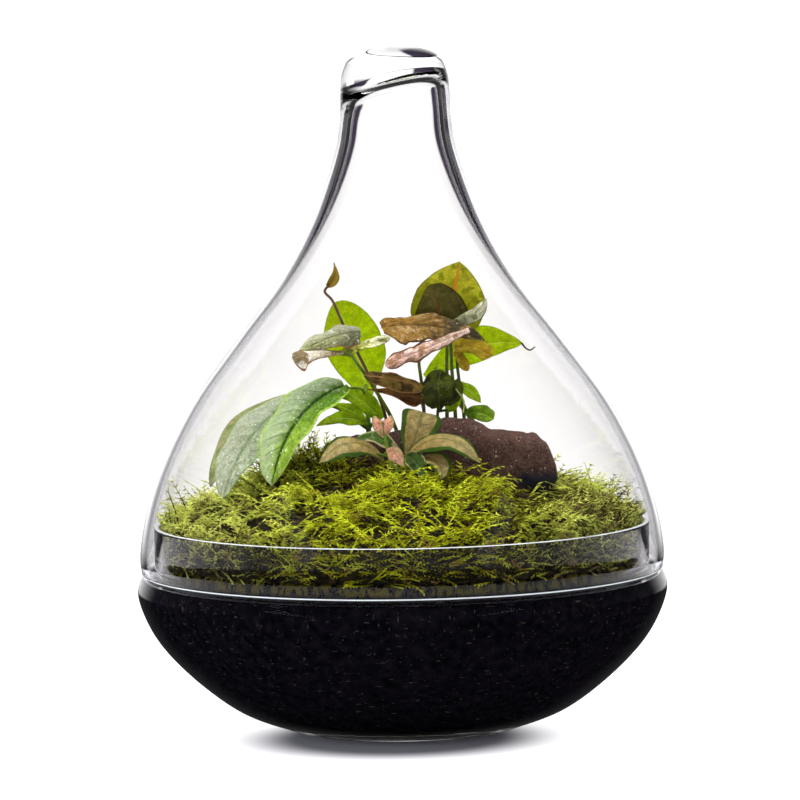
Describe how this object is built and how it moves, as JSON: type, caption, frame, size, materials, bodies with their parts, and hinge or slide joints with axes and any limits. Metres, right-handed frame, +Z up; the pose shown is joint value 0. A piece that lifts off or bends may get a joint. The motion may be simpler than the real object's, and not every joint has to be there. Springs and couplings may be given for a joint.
{
  "type": "glass plant terrarium",
  "caption": "Drop-shaped glass terrarium: a round bowl of soil, moss, a stone and small foliage plants, closed by a tall glass dome that rests on the bowl's shoulder and lifts off.",
  "frame": {"origin": "middle of the foot ring, on the surface that the bowl stands on", "axes": "+Z up along the axis of the bowl and dome, -Y towards the front of the planting, +X to its right"},
  "size_m": [0.251, 0.251, 0.322],
  "materials": {
    "bowl_glass": "polished",
    "dome_glass": "polished",
    "soil": "matte",
    "moss": "matte",
    "stone": "matte",
    "leaf_olive": "satin",
    "leaf_bronze": "satin",
    "leaf_tan": "satin",
    "leaf_grey": "satin",
    "leaf_dark": "satin",
    "leaf_green": "gloss",
    "leaf_cream": "satin",
    "leaf_pink": "satin"
  },
  "bodies": {
    "root": {"glass_bowl": "bowl_glass", "glass_dome": "dome_glass", "soil": "soil", "moss_carpet": "moss", "stone": "stone", "arrowhead_leaf_top": "leaf_olive", "arrowhead_leaf_back": "leaf_olive", "arrowhead_leaf_broad": "leaf_bronze", "arrowhead_leaf_tan": "leaf_tan", "arrowhead_leaf_left": "leaf_grey", "arrowhead_leaf_low": "leaf_bronze", "arrowhead_leaf_dark": "leaf_dark", "arrowhead_leaf_new": "leaf_tan", "coffee_stem_left": "leaf_green", "coffee_stem_right": "leaf_green", "wax_sprig": "leaf_cream", "wax_young_shoot": "leaf_pink"}
  },
  "joints": []
}
